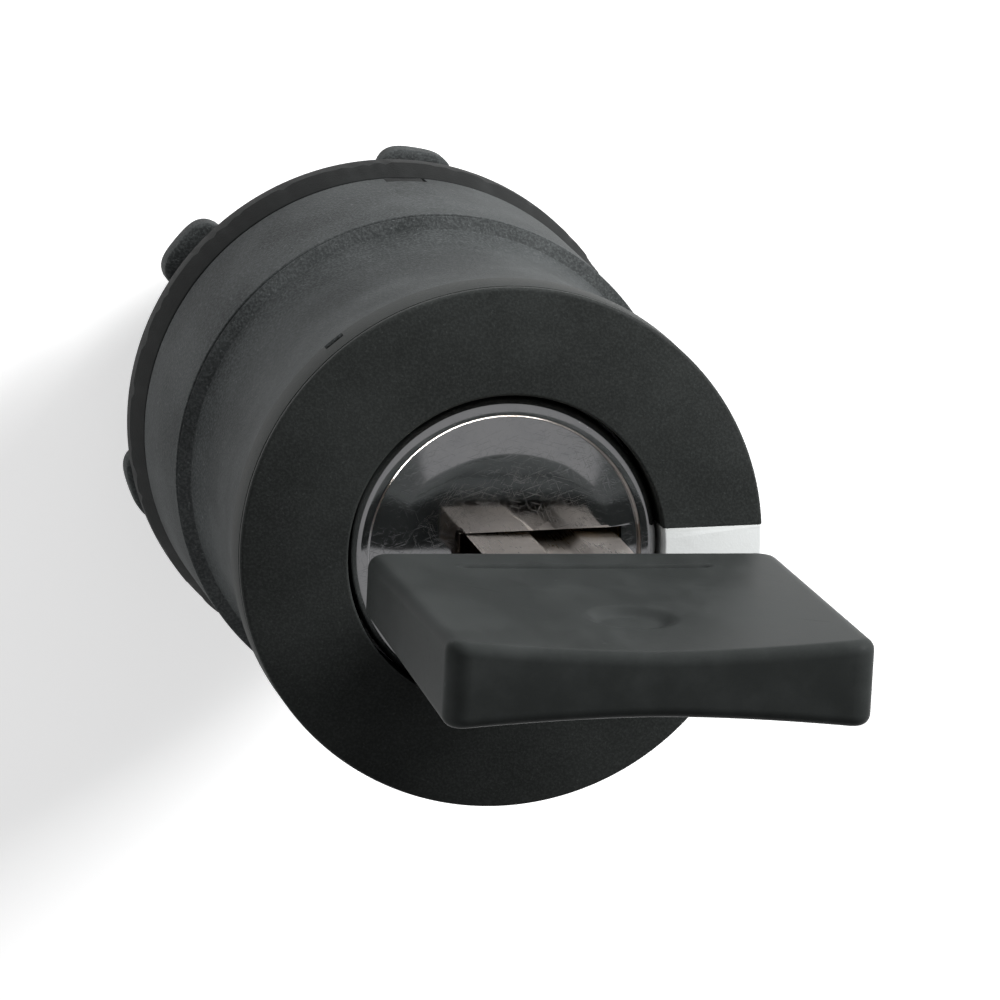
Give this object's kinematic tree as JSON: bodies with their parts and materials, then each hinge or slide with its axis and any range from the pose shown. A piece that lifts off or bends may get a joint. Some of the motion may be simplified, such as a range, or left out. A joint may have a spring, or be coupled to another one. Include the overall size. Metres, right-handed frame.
{
  "type": "selector key switch",
  "caption": "Round key-operated selector head for a panel hole: waisted black neck, turning face with a pale pointer, polished lock front, and a flat key standing in it.",
  "frame": {"origin": "on the switch's axis, in the plane of the gasket's rear face, where the panel's front face lies", "axes": "+Z along the axis, out of the panel towards the key; +Y up, to the panel key on the barrel; +X to the right, to the pointer at rest"},
  "size_m": [0.03, 0.03, 0.0757],
  "materials": {
    "black_plastic": "fine-grained matte black",
    "face_plastic": "matte black",
    "key_plastic": "matte black",
    "seal_rubber": "moulded black",
    "mark_white": "pale inlay",
    "polished_chrome": "polished, lightly scratched",
    "nickel": "plated, drawn along the blade",
    "cast_zinc": "cast zinc",
    "brass": "turned",
    "spring_steel": "bright",
    "cam_plastic": "natural moulded"
  },
  "bodies": {
    "head": {"bezel_base": "black_plastic", "panel_gasket": "seal_rubber", "rear_cover": "black_plastic", "collar": "black_plastic", "lock_housing": "cast_zinc", "housing_nut": "cast_zinc", "detent_ring": "cam_plastic", "detent_ball_1": "spring_steel", "detent_ball_2": "spring_steel", "detent_spring_1": "spring_steel", "detent_spring_2": "spring_steel", "plunger_spring_left": "spring_steel", "plunger_spring_right": "spring_steel"},
    "rotor": {"face_cap": "face_plastic", "index_mark": "mark_white", "plug_cap": "polished_chrome", "plug_seal": "seal_rubber", "lock_plug": "brass", "wafer_1": "brass", "wafer_2": "brass", "wafer_3": "brass", "wafer_4": "brass", "wafer_5": "brass", "drive_tail": "cast_zinc", "switching_cam": "cam_plastic", "cam_washer": "spring_steel", "tail_screw": "spring_steel"},
    "key": {"key_blade": "nickel", "key_bow": "key_plastic"},
    "plunger_left": {"plunger_left": "cam_plastic"},
    "plunger_right": {"plunger_right": "cam_plastic"},
    "washer": {"nut_washer": "spring_steel"},
    "nut": {"fixing_nut": "black_plastic"}
  },
  "joints": [
    {"name": "key_turn", "type": "hinge", "parent": "head", "child": "rotor", "pos_m": [0, 0, 0], "axis": [0, 0, 1], "range_deg": [-90, 0]},
    {"name": "key_withdrawal", "type": "slide", "parent": "rotor", "child": "key", "axis": [0, 0, 1], "range_m": [0, 0.022]},
    {"name": "plunger_left_push", "type": "slide", "parent": "head", "child": "plunger_left", "axis": [0, 0, -1], "range_m": [0, 0.0035], "deforming": ["plunger_spring_left"]},
    {"name": "plunger_right_push", "type": "slide", "parent": "head", "child": "plunger_right", "axis": [0, 0, -1], "range_m": [0, 0.0035], "deforming": ["plunger_spring_right"]},
    {"name": "washer_travel", "type": "slide", "parent": "head", "child": "washer", "axis": [0, 0, 1], "range_m": [-0.003, 0.001]},
    {"name": "nut_turn", "type": "hinge", "parent": "washer", "child": "nut", "pos_m": [0, 0, 0], "axis": [0, 0, 1], "range_deg": [-720, 240]}
  ],
  "couplings": [
    {"joint": "plunger_left_push", "follows": "key_turn", "m_per_rad": -0.002228},
    {"joint": "plunger_right_push", "follows": "key_turn", "m_per_rad": -0.002228},
    {"joint": "nut_turn", "follows": "washer_travel", "rad_per_m": 4188.8}
  ]
}
